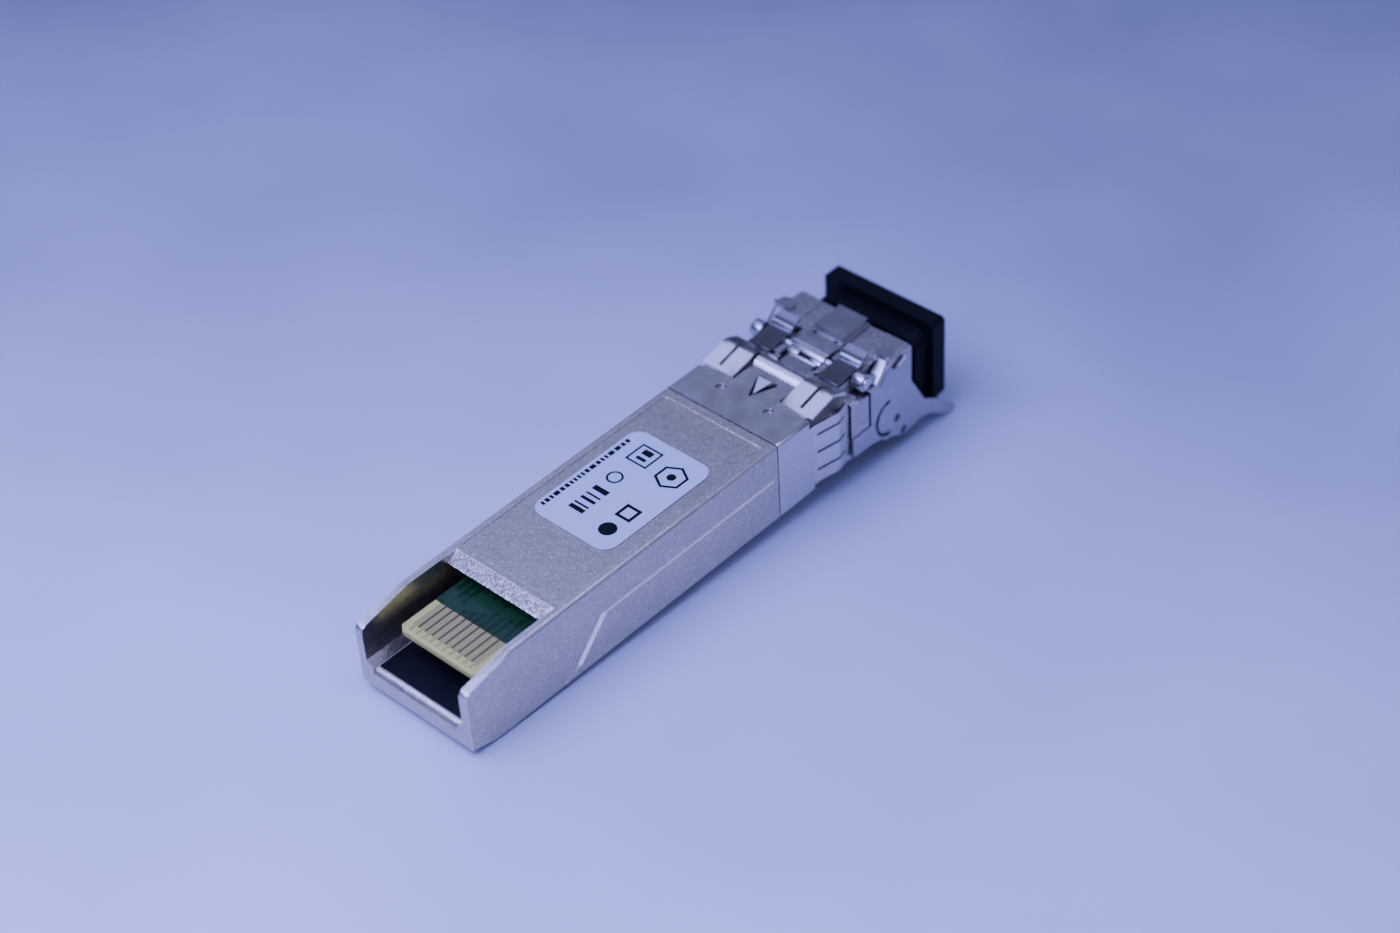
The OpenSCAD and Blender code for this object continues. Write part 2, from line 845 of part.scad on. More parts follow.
module bail_pin() {
    length = 1.5;
    top = 0.43;
    thick = 0.4;
    pin_end = nose_half + 0.3;
    color("silver")
        union() {
            pivot_bar(pin_r, -pin_end, pin_end);
            both_sides()
                pivot_bar(pin_r + 0.12, nose_half + 0.1 + eps, pin_end);
            // cam finger that lies flat under the lever's plate when the bail is open
            translate([pivot_x, -0.6, pivot_z])
                rotate([0, opening_angle - rock_angle, 0]) {
                    translate([0, 0, top - thick])
                        cube([length, 1.2, thick]);
                    translate([length, 0, top - thick / 2])
                        rotate([-90, 0, 0])
                            cylinder(r = thick / 2, h = 1.2, $fn = 32);
                }
        }
}

// ---- Dust plug ----

module plug_post(y) {
    half = port_w / 2 - 0.12;
    difference() {
        union() {
            along(7, 14)
                round_rect([y - half, port_z - half], [y + half, port_z + half], 0.4);
            block([9.4, y - 1.2, 0.1], [14, y + 1.2, port_z]);
        }
        x_bar(1.75, 6, 12.6, y, port_z);
    }
}

module dust_plug() {
    flange_half = nose_half;
    low = -2.4;
    color([0.07, 0.07, 0.08])
        union() {
            // end flange with its lower corners cut off
            along(15.8, 17.6)
                polygon([[1.5 - flange_half, low], [flange_half - 1.5, low], [flange_half, low + 2.2],
                         [flange_half, case_h - 0.3], [flange_half - 0.3, case_h],
                         [0.3 - flange_half, case_h], [-flange_half, case_h - 0.3],
                         [-flange_half, low + 2.2]]);
            // rounded collar behind the flange
            along(13.9, 15.81)
                round_rect([-6, -1.4], [6, 7.4], 1.5);
            for (y = [-port_y, port_y])
                plug_post(y);
        }
}

lower_shell();
upper_shell();
case_screw();
label();
insulator_film();
circuit_board();
solder_mask();
contact_pads();
controller_chip();
laser_driver_chip();
receiver_amp_chip();
memory_chip();
board_passives();
thermal_pad();
tx_receptacle();
rx_receptacle();
tx_guide_tube();
rx_guide_tube();
ferrule_sleeves();
laser_can();
photodiode_can();
tx_flex();
rx_flex();
osa_retainer();
port_nose();
emi_collar();
latch_lever();
latch_spring();
pin_clip_left();
pin_clip_right();
bail_frame();
bail_pin();
dust_plug();
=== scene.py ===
"""Looks for the pluggable optical transceiver module: finishes, label print, light and camera."""
import json
import math
import random

import bpy
from mathutils import Matrix, Vector


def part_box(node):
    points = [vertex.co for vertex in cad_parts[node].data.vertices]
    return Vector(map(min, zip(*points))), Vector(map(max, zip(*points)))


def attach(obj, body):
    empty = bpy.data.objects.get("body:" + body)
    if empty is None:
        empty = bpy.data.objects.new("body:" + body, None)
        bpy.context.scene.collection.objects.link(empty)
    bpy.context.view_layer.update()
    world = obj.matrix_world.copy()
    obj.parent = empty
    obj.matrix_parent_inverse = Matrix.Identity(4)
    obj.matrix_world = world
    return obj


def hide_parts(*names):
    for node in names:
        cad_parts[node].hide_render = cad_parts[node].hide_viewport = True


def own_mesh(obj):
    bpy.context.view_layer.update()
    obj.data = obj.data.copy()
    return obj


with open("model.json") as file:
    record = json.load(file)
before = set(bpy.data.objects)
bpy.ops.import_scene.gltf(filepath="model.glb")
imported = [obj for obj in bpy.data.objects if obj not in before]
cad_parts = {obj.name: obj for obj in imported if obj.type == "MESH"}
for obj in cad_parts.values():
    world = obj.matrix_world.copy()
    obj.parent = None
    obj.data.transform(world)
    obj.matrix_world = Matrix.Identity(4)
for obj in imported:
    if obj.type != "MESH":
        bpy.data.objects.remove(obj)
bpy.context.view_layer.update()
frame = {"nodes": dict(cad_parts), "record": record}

MM = 0.001


# ---- Finishes ----

class Finish:
    """A material built up node by node; lengths are in millimetres on the part."""

    def __init__(self, name, **shader):
        self.material = bpy.data.materials.new(name)
        self.material.use_nodes = True
        self.tree = self.material.node_tree
        self.shader = self.tree.nodes["Principled BSDF"]
        self.place = self.node("ShaderNodeTexCoord").outputs["Object"]
        self.normal = None
        for key, value in shader.items():
            self.feed(key, value)

    def node(self, kind, **settings):
        made = self.tree.nodes.new(kind)
        for key, value in settings.items():
            setattr(made, key, value)
        return made

    def put(self, socket, value):
        """Sets a socket to a number or colour, or links it to another node's output."""
        if isinstance(value, bpy.types.NodeSocket):
            self.tree.links.new(value, socket)
        elif isinstance(value, tuple) and len(value) == 3 and socket.type == "RGBA":
            socket.default_value = (*value, 1)
        else:
            socket.default_value = value

    def feed(self, key, value):
        """Feeds the main shader; key is the input's name in lower case with underscores."""
        names = {name.lower().replace(" ", "_"): name for name in self.shader.inputs.keys()}
        self.put(self.shader.inputs[names[key]], value)

    def stretched(self, stretch):
        """The place on the part, drawn out by a factor along each axis."""
        mapping = self.node("ShaderNodeMapping")
        self.put(mapping.inputs["Vector"], self.place)
        mapping.inputs["Scale"].default_value = [1 / s for s in stretch]
        return mapping.outputs["Vector"]

    def noise(self, grain, detail=2.0, stretch=(1, 1, 1)):
        """Cloudy noise from 0 to 1 with grains of the given size."""
        made = self.node("ShaderNodeTexNoise")
        self.put(made.inputs["Vector"], self.stretched(stretch))
        made.inputs["Scale"].default_value = 1 / (grain * MM)
        made.inputs["Detail"].default_value = detail
        return made.outputs["Fac"]

    def cells(self, grain, output="Distance", stretch=(1, 1, 1)):
        """Round cells of the given size."""
        made = self.node("ShaderNodeTexVoronoi")
        self.put(made.inputs["Vector"], self.stretched(stretch))
        made.inputs["Scale"].default_value = 1 / (grain * MM)
        return made.outputs[output]

    def bands(self, pitch, axis, distortion=0.0):
        """Waves from 0 to 1 that repeat along an axis."""
        made = self.node("ShaderNodeTexWave", wave_type="BANDS", bands_direction=axis)
        self.put(made.inputs["Vector"], self.place)
        made.inputs["Scale"].default_value = math.pi / (10 * pitch * MM)
        made.inputs["Distortion"].default_value = distortion
        return made.outputs["Fac"]

    def between(self, axis, low, high):
        """1 where the place along an axis lies between two values, else 0."""
        split = self.node("ShaderNodeSeparateXYZ")
        self.put(split.inputs["Vector"], self.place)
        value = split.outputs[axis]
        above = self.join("GREATER_THAN", value, low * MM)
        return self.join("MULTIPLY", above, self.join("LESS_THAN", value, high * MM))

    def remap(self, value, low, high, start=0.3, end=0.7):
        """Maps start..end of a value to low..high."""
        made = self.node("ShaderNodeMapRange")
        self.put(made.inputs["Value"], value)
        made.inputs["From Min"].default_value = start
        made.inputs["From Max"].default_value = end
        made.inputs["To Min"].default_value = low
        made.inputs["To Max"].default_value = high
        return made.outputs["Result"]

    def join(self, operation, a, b):
        """Two numbers put together by a maths operation."""
        made = self.node("ShaderNodeMath", operation=operation)
        self.put(made.inputs[0], a)
        self.put(made.inputs[1], b)
        return made.outputs[0]

    def mix(self, amount, a, b):
        """Colour a where the amount is 0, colour b where it is 1."""
        made = self.node("ShaderNodeMix", data_type="RGBA")
        sockets = [s for s in made.inputs if s.type == "RGBA"]
        self.put(made.inputs[0], amount)
        self.put(sockets[0], a)
        self.put(sockets[1], b)
        return [s for s in made.outputs if s.type == "RGBA"][0]

    def bump(self, height, depth):
        """Adds relief; depth is how far the height 1 stands above 0."""
        made = self.node("ShaderNodeBump")
        made.inputs["Strength"].default_value = 1.0
        made.inputs["Distance"].default_value = depth * MM
        self.put(made.inputs["Height"], height)
        if self.normal is not None:
            self.put(made.inputs["Normal"], self.normal)
        self.normal = made.outputs["Normal"]
        self.feed("normal", self.normal)

    def seams(self, reach):
        """1 deep in seams and gaps narrower than the reach, 0 on open faces; used to paint shade into them.
        """
        shelter = self.node("ShaderNodeAmbientOcclusion", samples=6)
        shelter.inputs["Distance"].default_value = reach * MM
        return self.remap(shelter.outputs["AO"], 0, 1, start=0.7, end=0.25)

    def edges(self, radius):
        """1 along edges and corners, 0 on flats, broken up a little."""
        rounded = self.node("ShaderNodeBevel", samples=4)
        rounded.inputs["Radius"].default_value = radius * MM
        plain = self.node("ShaderNodeNewGeometry")
        dot = self.node("ShaderNodeVectorMath", operation="DOT_PRODUCT")
        self.put(dot.inputs[0], rounded.outputs["Normal"])
        self.put(dot.inputs[1], plain.outputs["Normal"])
        lean = self.remap(dot.outputs["Value"], 0, 1, start=0.995, end=0.86)
        return self.join("MULTIPLY", lean, self.remap(self.noise(0.5, 3), 0.35, 1))


# The groove where the two shells meet, cut in the side faces, in millimetres.
PARTING_X = (-32.4, -6.4)
PARTING_Z = (0.4, 5.1)
GROOVE_DEPTH = 0.4
SIDE_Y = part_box("lower_shell")[1].y / MM
SKIN = 0.01
# The rough slope at the end of the roof, in millimetres.
SLOPE_X = (-34.98, -33.68)
SLOPE_Y = 5.6


def scaled(colour, share):
    """A darker or lighter version of a colour."""
    return tuple(min(1, share * c) for c in colour)


def groove_highlight_area(made):
    """1 in the parting groove, which lies just below the side faces; a highlight is painted there."""
    left = made.between("Y", SIDE_Y - GROOVE_DEPTH, SIDE_Y - SKIN)
    right = made.between("Y", SKIN - SIDE_Y, GROOVE_DEPTH - SIDE_Y)
    along = made.join("MULTIPLY", made.between("X", *PARTING_X), made.between("Z", *PARTING_Z))
    return made.join("MULTIPLY", along, made.join("MAXIMUM", left, right))


def slope_area(made):
    """1 on the slope at the end of the roof."""
    return made.join("MULTIPLY", made.between("X", *SLOPE_X), made.between("Y", -SLOPE_Y, SLOPE_Y))


def grainy_shade(made, colour, wear_and_highlight_colour, grain):
    """Cloudy patches, dark pits and bright sparkle."""
    patches = made.remap(made.noise(2.5, 4), 0, 1)
    shade = made.mix(patches, scaled(colour, 0.88), colour)
    pits = made.remap(made.noise(grain, 2), 0, 1, start=0.3, end=0.62)
    shade = made.mix(pits, scaled(colour, 0.72), shade)
    sparkle = made.remap(made.cells(grain, "Color"), 0, 1, start=0.7, end=0.9)
    return made.mix(made.join("MULTIPLY", sparkle, 0.5), shade, wear_and_highlight_colour)


def cast_metal(name, colour, wear_and_highlight_colour, grain, relief, rough):
    """Satin plate over a blasted casting: granular relief, sparkle, edges lightened by rubbing and painted
    highlight, a painted highlight in the parting groove, painted shade in seams, and the roof's end slope
    darkened by scuffing and painted shade.
    """
    made = Finish(name, metallic=1.0)
    edge_wear_and_highlight = made.edges(0.26)
    slope = slope_area(made)
    groove = groove_highlight_area(made)
    # edges lightened: partly rubbed metal, partly painted highlight
    shade = made.mix(edge_wear_and_highlight, grainy_shade(made, colour, wear_and_highlight_colour, grain), wear_and_highlight_colour)
    slope_scuffs_and_shade = made.remap(made.noise(0.2, 5), 0.95, 0.2, start=0.42, end=0.6)
    # the roof's end slope darkened in scuffed patches: partly scuffing, partly painted shade
    shade = made.mix(made.join("MULTIPLY", slope, slope_scuffs_and_shade), shade, scaled(colour, 0.25))
    # painted highlight: the parting groove is coloured bright
    shade = made.mix(groove, shade, wear_and_highlight_colour)
    # painted shade: seams and gaps darkened by occlusion, except in the groove
    seam_shade = made.join("SUBTRACT", made.seams(0.45), groove)
    made.feed("base_color", made.mix(seam_shade, shade, scaled(colour, 0.08)))
    dull = made.remap(made.noise(grain * 3, 3), rough - 0.06, rough + 0.08)
    dull = made.join("ADD", dull, made.join("MULTIPLY", slope, 0.08))
    dull = made.join("SUBTRACT", dull, made.join("MULTIPLY", groove, 0.14))
    made.feed("roughness", made.join("SUBTRACT", dull, made.join("MULTIPLY", edge_wear_and_highlight, 0.18)))
    made.bump(made.noise(0.9, 3), relief)
    made.bump(made.noise(grain, 3), relief)
    return made.material


def sheet_metal(name, colour, rough, streak, relief):
    """Rolled and stamped sheet: fine lines along the strip, faint smears, edges lightened by rubbing and
    painted highlight, and painted shade in seams.
    """
    made = Finish(name, metallic=1.0)
    lines = made.noise(0.09, 3, stretch=streak)
    smears = made.noise(1.6, 4)
    shade = made.mix(smears, scaled(colour, 0.8), colour)
    # edges lightened: partly rubbed metal, partly painted highlight
    shade = made.mix(made.edges(0.07), shade, scaled(colour, 1.3))
    # painted shade: seams and gaps darkened by occlusion
    made.feed("base_color", made.mix(made.seams(0.35), shade, scaled(colour, 0.1)))
    made.feed("roughness", made.join("ADD", made.remap(smears, rough - 0.03, rough + 0.06),
                                     made.remap(lines, 0, 0.05)))
    made.bump(lines, relief)
    made.bump(made.noise(2.2, 2), relief * 3)
    return made.material


def turned_metal(name, colour, rough):
    """Turned on a lathe: fine rings round the X axis."""
    made = Finish(name, metallic=1.0)
    rings = made.bands(0.08, "X", 0.6)
    smears = made.noise(0.8, 3)
    made.feed("base_color", made.mix(smears, scaled(colour, 0.85), colour))
    made.feed("roughness", made.remap(smears, rough - 0.03, rough + 0.05))
    made.bump(rings, 0.0015)
    return made.material


def moulded_plastic(name, colour, rough, relief):
    """Moulded resin with a fine spark-eroded texture and faint gloss patches."""
    made = Finish(name, specular_ior_level=0.1)
    patches = made.noise(3, 4)
    made.feed("base_color", made.mix(patches, scaled(colour, 0.75), colour))
    made.feed("roughness", made.remap(patches, rough - 0.05, rough + 0.08))
    made.bump(made.noise(0.14, 3), relief)
    made.bump(made.noise(4, 2), relief * 2)
    return made.material


def label_film():
    """Satin printed film."""
    made = Finish("label_film", ior=1.48, coat_weight=0.15, coat_roughness=0.25)
    cloud = made.noise(2.5, 3)
    made.feed("base_color", made.mix(cloud, (0.43, 0.46, 0.55), (0.48, 0.51, 0.6)))
    made.feed("roughness", made.remap(cloud, 0.34, 0.42))
    made.bump(made.noise(0.25, 3), 0.0015)
    return made.material


def label_ink():
    """Matt black print, slightly uneven."""
    made = Finish("label_ink", specular_ior_level=0.12)
    cloud = made.noise(0.3, 3)
    made.feed("base_color", made.mix(cloud, (0.002, 0.002, 0.002), (0.006, 0.006, 0.006)))
    made.feed("roughness", made.remap(cloud, 0.45, 0.6))
    made.bump(cloud, 0.001)
    return made.material


# The field between the outer contacts, in millimetres.
CONTACTS_X = (-41, -37.6)
CONTACTS_Y = 3.8


def laminate():
    """Glass and epoxy laminate: the cloth's weave shows faintly."""
    made = Finish("laminate", specular_ior_level=0.25, subsurface_weight=0.15,
                  subsurface_scale=0.4 * MM)
    weave = made.join("MULTIPLY", made.bands(0.35, "X", 0.3), made.bands(0.35, "Y", 0.3))
    layers = made.bands(0.12, "Z", 0.4)
    cream = made.mix(weave, (0.5, 0.47, 0.11), (0.68, 0.63, 0.17))
    sides = made.mix(made.join("MULTIPLY", layers, 0.25), cream, (0.42, 0.36, 0.08))
    # the laminate between the contacts is coloured dark
    between_pads = made.join("MULTIPLY", made.between("X", *CONTACTS_X),
                             made.between("Y", -CONTACTS_Y, CONTACTS_Y))
    made.feed("base_color", made.mix(between_pads, sides, (0.075, 0.062, 0.02)))
    made.feed("roughness", made.remap(made.noise(0.6, 3), 0.38, 0.55))
    made.bump(weave, 0.004)
    return made.material


def green_mask(pitch):
    """Solder mask over copper: tracks run back from the contacts."""
    made = Finish("green_mask", specular_ior_level=0.2)
    tracks = made.remap(made.bands(pitch, "Y"), 0, 1, start=0.72, end=0.8)
    pour = made.remap(made.noise(2.2, 1), 0, 1, start=0.5, end=0.54)
    copper = made.join("MAXIMUM", tracks, pour)
    made.feed("base_color", made.mix(copper, (0.006, 0.026, 0.008), (0.012, 0.045, 0.014)))
    made.feed("roughness", made.remap(made.noise(1.0, 3), 0.2, 0.32))
    made.bump(copper, 0.01)
    return made.material


def gold_plate():
    """Hard gold on the contacts, wiped along the card by plugging."""
    made = Finish("gold_plate", metallic=1.0)
    wipe = made.noise(0.12, 3, stretch=(12, 1, 1))
    made.feed("base_color", made.mix(wipe, (0.5, 0.44, 0.15), (0.7, 0.61, 0.24)))
    made.feed("roughness", made.remap(wipe, 0.24, 0.4))
    made.bump(wipe, 0.002)
    return made.material


def gap_pad():
    """Soft silicone filled with ceramic grains."""
    made = Finish("gap_pad", ior=1.43, subsurface_weight=0.2, subsurface_scale=0.5 * MM)
    grains = made.cells(0.12)
    made.feed("base_color", made.mix(grains, (0.3, 0.36, 0.43), (0.45, 0.52, 0.6)))
    made.feed("roughness", made.remap(grains, 0.6, 0.8))
    made.bump(grains, 0.01)
    return made.material


def zirconia():
    """Polished white ceramic."""
    made = Finish("zirconia", ior=2.1, subsurface_weight=0.3, subsurface_scale=0.3 * MM)
    cloud = made.noise(0.7, 2)
    made.feed("base_color", made.mix(cloud, (0.86, 0.86, 0.83), (0.93, 0.93, 0.91)))
    made.feed("roughness", made.remap(cloud, 0.08, 0.16))
    made.bump(cloud, 0.0006)
    return made.material


def polyimide():
    """Amber film with copper tracks along it."""
    made = Finish("polyimide", ior=1.6, transmission_weight=0.15)
    tracks = made.remap(made.bands(0.7, "Y"), 0, 1, start=0.6, end=0.7)
    made.feed("base_color", made.mix(tracks, (0.55, 0.23, 0.03), (0.72, 0.36, 0.09)))
    made.feed("roughness", made.remap(made.noise(0.8, 2), 0.25, 0.4))
    made.bump(tracks, 0.008)
    return made.material


def capacitor_body():
    """Fired ceramic, a little uneven in colour."""
    made = Finish("capacitor_body", ior=1.6)
    cloud = made.noise(0.3, 3)
    made.feed("base_color", made.mix(cloud, (0.3, 0.22, 0.15), (0.55, 0.44, 0.32)))
    made.feed("roughness", made.remap(cloud, 0.4, 0.6))
    made.bump(cloud, 0.004)
    return made.material


# Millimetres between neighbouring contacts.
CONTACT_PITCH = 0.8
FINISHES = {
    "cast_zinc": cast_metal("cast_zinc", colour=(0.67, 0.605, 0.46), wear_and_highlight_colour=(1.0, 0.96, 0.86),
                            grain=0.15, relief=0.025, rough=0.34),
    "nose_casting": cast_metal("nose_casting", colour=(0.56, 0.53, 0.48), wear_and_highlight_colour=(1.0, 0.96, 0.88),
                               grain=0.13, relief=0.014, rough=0.3),
    "screw_steel": turned_metal("screw_steel", colour=(0.4, 0.4, 0.42), rough=0.4),
    "label_film": label_film(),
    "black_film": moulded_plastic("black_film", (0.006, 0.006, 0.007), rough=0.5, relief=0.003),
    "laminate": laminate(),
    "green_mask": green_mask(CONTACT_PITCH),
    "gold_plate": gold_plate(),
    "chip_resin": moulded_plastic("chip_resin", (0.03, 0.03, 0.033), rough=0.6, relief=0.006),
    "capacitor_body": capacitor_body(),
    "gap_pad": gap_pad(),
    "turned_steel": turned_metal("turned_steel", colour=(0.72, 0.72, 0.73), rough=0.18),
    "zirconia": zirconia(),
    "gold_can": turned_metal("gold_can", colour=(0.83, 0.62, 0.3), rough=0.22),
    "polyimide": polyimide(),
    "retainer_plastic": moulded_plastic("retainer_plastic", (0.2, 0.2, 0.21), rough=0.5, relief=0.006),
    "spring_sheet": sheet_metal("spring_sheet", colour=(0.76, 0.72, 0.64), rough=0.2,
                                streak=(14, 1, 1), relief=0.001),
    "stamped_sheet": sheet_metal("stamped_sheet", colour=(0.54, 0.52, 0.49), rough=0.2,
                                 streak=(6, 1, 1), relief=0.0015),
    # the polished sheet's colour is darkened to paint in a dark reflection
    "polished_sheet": sheet_metal("polished_sheet", colour=(0.26, 0.25, 0.24), rough=0.09,
                                  streak=(6, 1, 1), relief=0.0006),
    "black_plastic": moulded_plastic("black_plastic", (0.004, 0.004, 0.005), rough=0.5, relief=0.006),
}
# Edge radius in millimetres for the parts whose edges are seen.
EDGE_RADIUS = {
    "lower_shell": 0.08, "upper_shell": 0.08, "port_nose": 0.08, "emi_collar": 0.03,
    "latch_lever": 0.05, "pin_clip_left": 0.05, "pin_clip_right": 0.05, "bail_frame": 0.06,
    "bail_pin": 0.04, "dust_plug": 0.15, "circuit_board": 0.03, "label": 0.02,
    "osa_retainer": 0.05, "case_screw": 0.04, "tx_guide_tube": 0.04, "rx_guide_tube": 0.04,
    "controller_chip": 0.06, "laser_driver_chip": 0.06, "receiver_amp_chip": 0.06,
    "memory_chip": 0.05, "board_passives": 0.04, "thermal_pad": 0.12,
}


def dress_cad_nodes():
    """Gives every CAD node the finish of its material slot, and rounds the edges that are seen."""
    for part in frame["record"]["subparts"]:
        node = frame["nodes"][part["node"]]
        node.data.materials.clear()
        node.data.materials.append(FINISHES[part["material_slot"]])
    for name, radius in EDGE_RADIUS.items():
        round_edges(frame["nodes"][name], radius)


def round_edges(node, radius):
    """Joins the flat triangles into whole faces, then rounds the sharp edges between them."""
    if "custom_normal" in node.data.attributes:
        node.data.attributes.remove(node.data.attributes["custom_normal"])
    node.data.shade_smooth()
    weld = node.modifiers.new("weld", "WELD")
    weld.merge_threshold = 0.002 * MM
    flat = node.modifiers.new("flat", "DECIMATE")
    flat.decimate_type = "DISSOLVE"
    flat.angle_limit = math.radians(0.5)
    edge = node.modifiers.new("edge", "BEVEL")
    edge.width = radius * MM
    edge.segments = 2
    edge.limit_method = "ANGLE"
    edge.angle_limit = math.radians(32)
    shading = node.modifiers.new("shading", "WEIGHTED_NORMAL")
    shading.keep_sharp = False


# ---- Printed label ----

ROUND_SIDES = 32
SQUARE_ON = math.pi / 4


class Print:
    """Thin flat shapes gathered in one mesh. Lengths are in millimetres from the middle."""

    def __init__(self, middle, thickness):
        self.points = []
        self.faces = []
        self.middle = middle
        self.levels = (middle.z, middle.z + thickness)

    def add(self, outline, z):
        self.points += [(self.middle.x + x, self.middle.y + y, z) for x, y in outline]

    def band(self, outer, inner):
        """A closed line between two outlines with the same number of points."""
        n = len(outer)
        base = len(self.points)
        for z in self.levels:
            self.add(outer, z)
            self.add(inner, z)
        low_out, low_in, top_out, top_in = (base + i * n for i in range(4))
        for i in range(n):
            j = (i + 1) % n
            self.faces += [
                (top_out + i, top_out + j, top_in + j, top_in + i),
                (low_out + j, low_out + i, low_in + i, low_in + j),
                (low_out + i, low_out + j, top_out + j, top_out + i),
                (low_in + j, low_in + i, top_in + i, top_in + j),
            ]

    def patch(self, outline):
        """A filled shape; the outline runs anticlockwise."""
        n = len(outline)
        base = len(self.points)
        for z in self.levels:
            self.add(outline, z)
        self.faces.append(tuple(base + n + i for i in range(n)))
        self.faces.append(tuple(base + n - 1 - i for i in range(n)))
        for i in range(n):
            j = (i + 1) % n
            self.faces.append((base + i, base + j, base + n + j, base + n + i))

    def bar(self, x, y, length, width):
        self.patch([(x, y), (x + length, y), (x + length, y + width), (x, y + width)])

    def disc(self, x, y, radius, sides=ROUND_SIDES):
        self.patch(regular(x, y, radius, sides))

    def rim(self, x, y, outer, inner, sides, turn=0.0):
        """A line round a regular polygon, from the inner to the outer corner radius."""
        self.band(regular(x, y, outer, sides, turn), regular(x, y, inner, sides, turn))

    def made(self, name, material):
        mesh = bpy.data.meshes.new(name)
        mesh.from_pydata([Vector(p) * MM for p in self.points], [], self.faces)
        mesh.materials.append(material)
        piece = bpy.data.objects.new(name, mesh)
        bpy.context.scene.collection.objects.link(piece)
        return piece


def regular(x, y, radius, sides, turn=0.0):
    """Corners of a regular polygon, anticlockwise."""
    angles = [turn + 2 * math.pi * i / sides for i in range(sides)]
    return [(x + radius * math.cos(a), y + radius * math.sin(a)) for a in angles]


def print_dashes(marks, start, end, y):
    """A row of dashes of uneven length."""
    pattern = random.Random(4)
    x = start
    while x < end:
        length = pattern.choice((0.28, 0.4, 0.62))
        marks.bar(x, y, length, width=0.5)
        x += length + 0.2


def print_label():
    """Plain marks laid out like those of a device label: no letters, no known signs."""
    low, high = (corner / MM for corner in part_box("label"))
    middle = (low + high) / 2
    middle.z = high.z + 0.001
    marks = Print(middle, thickness=0.01)
    print_dashes(marks, start=-5.85, end=5.15, y=3.85)
    # square frame with two bars inside
    marks.rim(4.45, 1.5, outer=1.75, inner=1.45, sides=4, turn=SQUARE_ON)
    marks.bar(3.8, 0.95, length=0.4, width=1.1)
    marks.bar(4.55, 0.95, length=0.7, width=1.1)
    # six-sided frame round a dot
    marks.rim(3.85, -2.3, outer=1.6, inner=1.3, sides=6)
    marks.disc(3.85, -2.3, radius=0.45, sides=24)
    # small ring
    marks.rim(0.75, 1.6, outer=0.8, inner=0.6, sides=ROUND_SIDES)
    # block of bars
    for i, width in enumerate((0.5, 0.22, 0.36, 0.22, 0.6)):
        marks.bar(-4.55 + i * 0.74, 0.5, length=width, width=1.7)
    # thick square frame beside a solid disc
    marks.rim(-1.95, -2.6, outer=1.25, inner=0.8, sides=4, turn=SQUARE_ON)
    marks.disc(-4.55, -2.6, radius=0.85)
    piece = marks.made("label_marks", label_ink())
    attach(piece, "housing")


# ---- Spring under the latch lever ----

def follow_with_spring():
    """A copy of the leaf spring, attached to the housing, shown in place of the CAD node."""
    node = frame["nodes"]["latch_spring"]
    leaf = bpy.data.objects.new("leaf_spring", node.data.copy())
    bpy.context.scene.collection.objects.link(leaf)
    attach(leaf, "housing")
    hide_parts("latch_spring")
    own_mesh(leaf)


# ---- Stage ----

# The module rests on its rear bottom edge and on the foot of the bail.
REAR_EDGE = Vector((-41.3, 0, 0)) * MM
BAIL_LOW, BAIL_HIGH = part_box("bail_frame")
BAIL_FOOT = Vector((BAIL_HIGH.x - 0.25 * MM, 0, BAIL_LOW.z - 0.02 * MM))
FLOOR_HALF = 1.5
FLOOR_GAP = 0.02 * MM
# The floor's colour is a painted gradient of light, pale near the camera and darker far away; the fade's
# ends are in metres.
FLOOR_AWAY = (0.75, 0.63, 0)
FLOOR_FADE = (-0.1, 0.15)
FLOOR_NEAR = (0.78, 0.79, 0.92)
FLOOR_FAR = (0.2, 0.2, 0.24)


def make_floor():
    """A pale sheet, tilted to meet the module's two lines of contact."""
    made = Finish("floor_sheet", ior=1.45)
    away = made.node("ShaderNodeVectorMath", operation="DOT_PRODUCT")
    made.put(away.inputs[0], made.place)
    away.inputs[1].default_value = FLOOR_AWAY
    # painted light: the colour fades from pale to dark away from the camera
    depth = made.remap(away.outputs["Value"], 0, 1, *FLOOR_FADE)
    cloud = made.remap(made.noise(60, 3), -0.12, 0.12)
    made.feed("base_color", made.mix(made.join("ADD", depth, cloud), FLOOR_NEAR, FLOOR_FAR))
    made.feed("roughness", made.remap(made.noise(20, 3), 0.38, 0.46))
    made.bump(made.noise(35, 2, stretch=(3, 1, 1)), 0.4)
    made.bump(made.noise(1.2, 2), 0.004)
    mesh = bpy.data.meshes.new("floor")
    corners = [(-1, -1), (1, -1), (1, 1), (-1, 1)]
    mesh.from_pydata([(x * FLOOR_HALF, y * FLOOR_HALF, 0) for x, y in corners], [], [(0, 1, 2, 3)])
    mesh.materials.append(made.material)
    floor = bpy.data.objects.new("floor", mesh)
    bpy.context.scene.collection.objects.link(floor)
    run = BAIL_FOOT - REAR_EDGE
    floor.rotation_euler = (0, math.atan2(-run.z, run.x), 0)
    floor.location = REAR_EDGE - Vector((0, 0, FLOOR_GAP))


LIGHT_TINT = (0.28, 0.315, 1.0)
SIDE_TINT = (0.3, 0.325, 0.86)


def soft_box(name, direction, distance, size, power, aim=(-12, 0, 4), tint=LIGHT_TINT):
    """A soft bluish area light that shines on a point from a direction."""
    data = bpy.data.lights.new(name, "AREA")
    data.shape = "RECTANGLE"
    data.size, data.size_y = size
    data.energy = power
    data.color = tint
    light = bpy.data.objects.new(name, data)
    bpy.context.scene.collection.objects.link(light)
    towards = Vector(direction).normalized()
    light.location = Vector(aim) * MM + towards * distance
    light.rotation_mode = "QUATERNION"
    light.rotation_quaternion = towards.to_track_quat("Z", "Y")


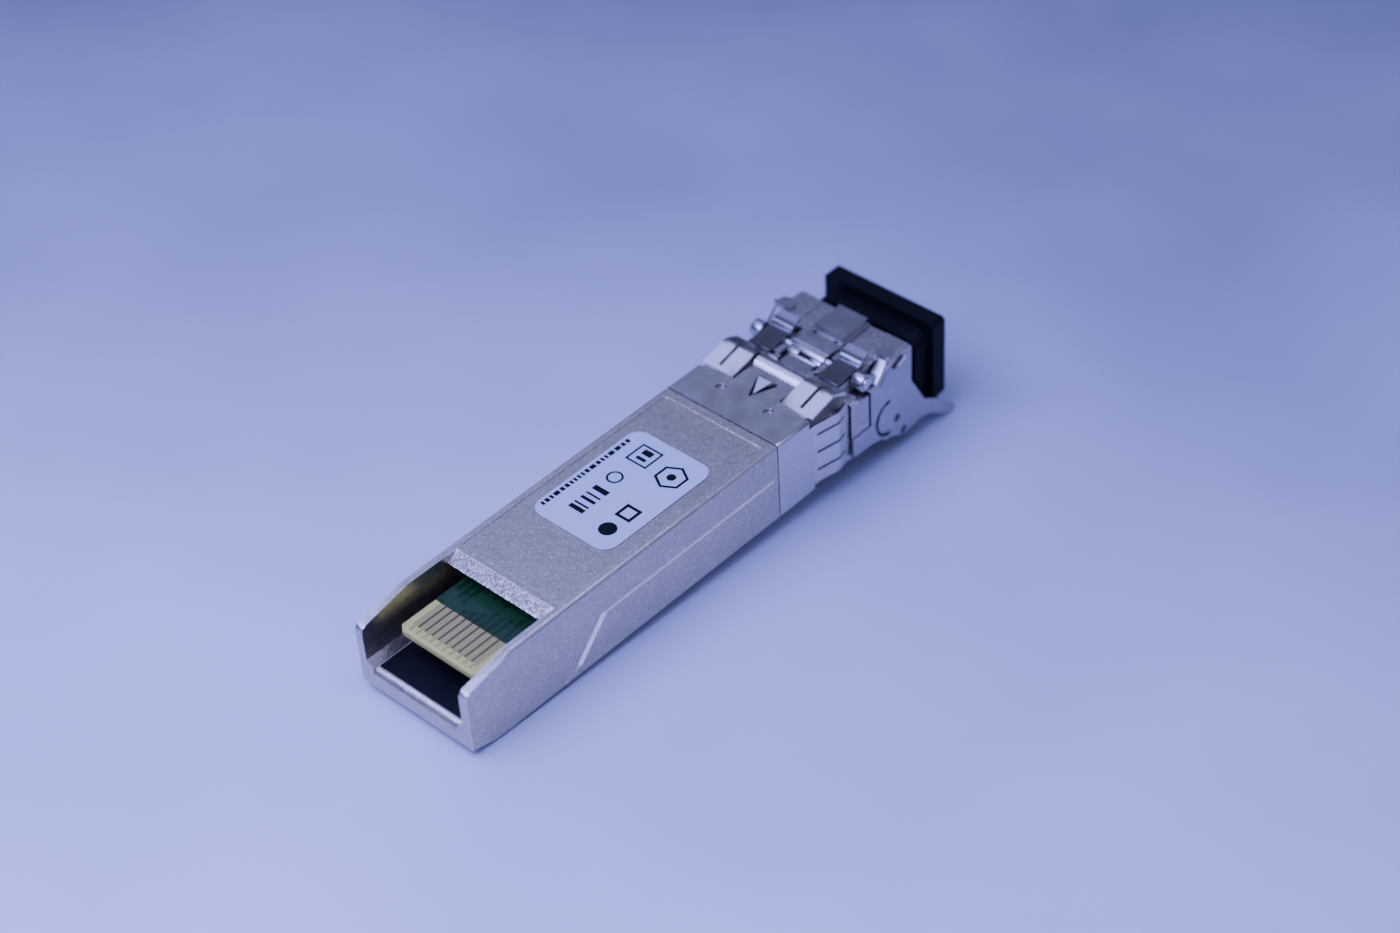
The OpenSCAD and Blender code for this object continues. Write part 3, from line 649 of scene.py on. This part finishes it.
def make_lights():
    soft_box("key", (0.16, 0.5, 0.85), distance=0.9, size=(0.5, 0.5), power=1.85)
    soft_box("right", (0.25, -0.8, 0.6), distance=0.9, size=(1.0, 0.8), power=1.95, tint=SIDE_TINT)
    soft_box("near", (-0.46, -0.84, 0.3), distance=0.7, size=(0.3, 0.2), power=0.5)
    # a pool of light on the near part of the floor
    soft_box("pool", (-0.1, 0.2, 1), distance=0.2, size=(0.18, 0.18), power=1.35, aim=(-112, -18, 0))
    # and one beside the module, in the shadow of the key light
    soft_box("side_pool", (0.1, 0, 1), distance=0.14, size=(0.07, 0.05), power=0.065, aim=(-6, -38, 0))


def make_surroundings():
    """A dim bluish room, darkest below and lightest overhead."""
    world = bpy.data.worlds.new("studio")
    bpy.context.scene.world = world
    world.use_nodes = True
    nodes, links = world.node_tree.nodes, world.node_tree.links
    place = nodes.new("ShaderNodeTexCoord")
    split = nodes.new("ShaderNodeSeparateXYZ")
    ramp = nodes.new("ShaderNodeValToRGB")
    links.new(place.outputs["Generated"], split.inputs["Vector"])
    links.new(split.outputs["Z"], ramp.inputs["Fac"])
    links.new(ramp.outputs["Color"], nodes["Background"].inputs["Color"])
    nodes["Background"].inputs["Strength"].default_value = 1.0
    horizon, overhead = ramp.color_ramp.elements
    horizon.position = 0.0
    horizon.color = (0.03, 0.034, 0.09, 1)
    overhead.position = 1.0
    overhead.color = (0.2, 0.23, 0.62, 1)
    upper_walls = ramp.color_ramp.elements.new(0.6)
    upper_walls.color = (0.18, 0.2, 0.43, 1)


# The camera looks over the tail's corner; lengths are in millimetres, angles in degrees.
CAMERA_TARGET = Vector((-8.813, 0.514, 3.995))
CAMERA_DISTANCE = 262
CAMERA_HEADING = 44.7505
CAMERA_ELEVATION = 40.6842
CAMERA_ROLL = 3.7676
FOCUS_POINT = Vector((-24, 0, 8))


def make_camera():
    """A long lens that looks at the target, rolled a little."""
    data = bpy.data.cameras.new("camera")
    data.sensor_width = 36
    data.lens = 74.6
    data.clip_start = 0.01
    data.clip_end = 10
    camera = bpy.data.objects.new("camera", data)
    bpy.context.scene.collection.objects.link(camera)
    heading, elevation, roll = map(math.radians, (CAMERA_HEADING, CAMERA_ELEVATION, CAMERA_ROLL))
    level = Matrix.Rotation(heading - math.pi / 2, 4, "Z") @ Matrix.Rotation(math.pi / 2 - elevation, 4, "X")
    turn = level @ Matrix.Rotation(-roll, 4, "Z")
    backwards = turn.to_3x3() @ Vector((0, 0, 1))
    place = (CAMERA_TARGET + CAMERA_DISTANCE * backwards) * MM
    camera.matrix_world = Matrix.Translation(place) @ turn
    focus = bpy.data.objects.new("focus", None)
    focus.location = FOCUS_POINT * MM
    bpy.context.scene.collection.objects.link(focus)
    data.dof.use_dof = True
    data.dof.focus_object = focus
    data.dof.aperture_fstop = 16
    bpy.context.scene.camera = camera


dress_cad_nodes()
print_label()
follow_with_spring()
make_floor()
make_lights()
make_surroundings()
make_camera()
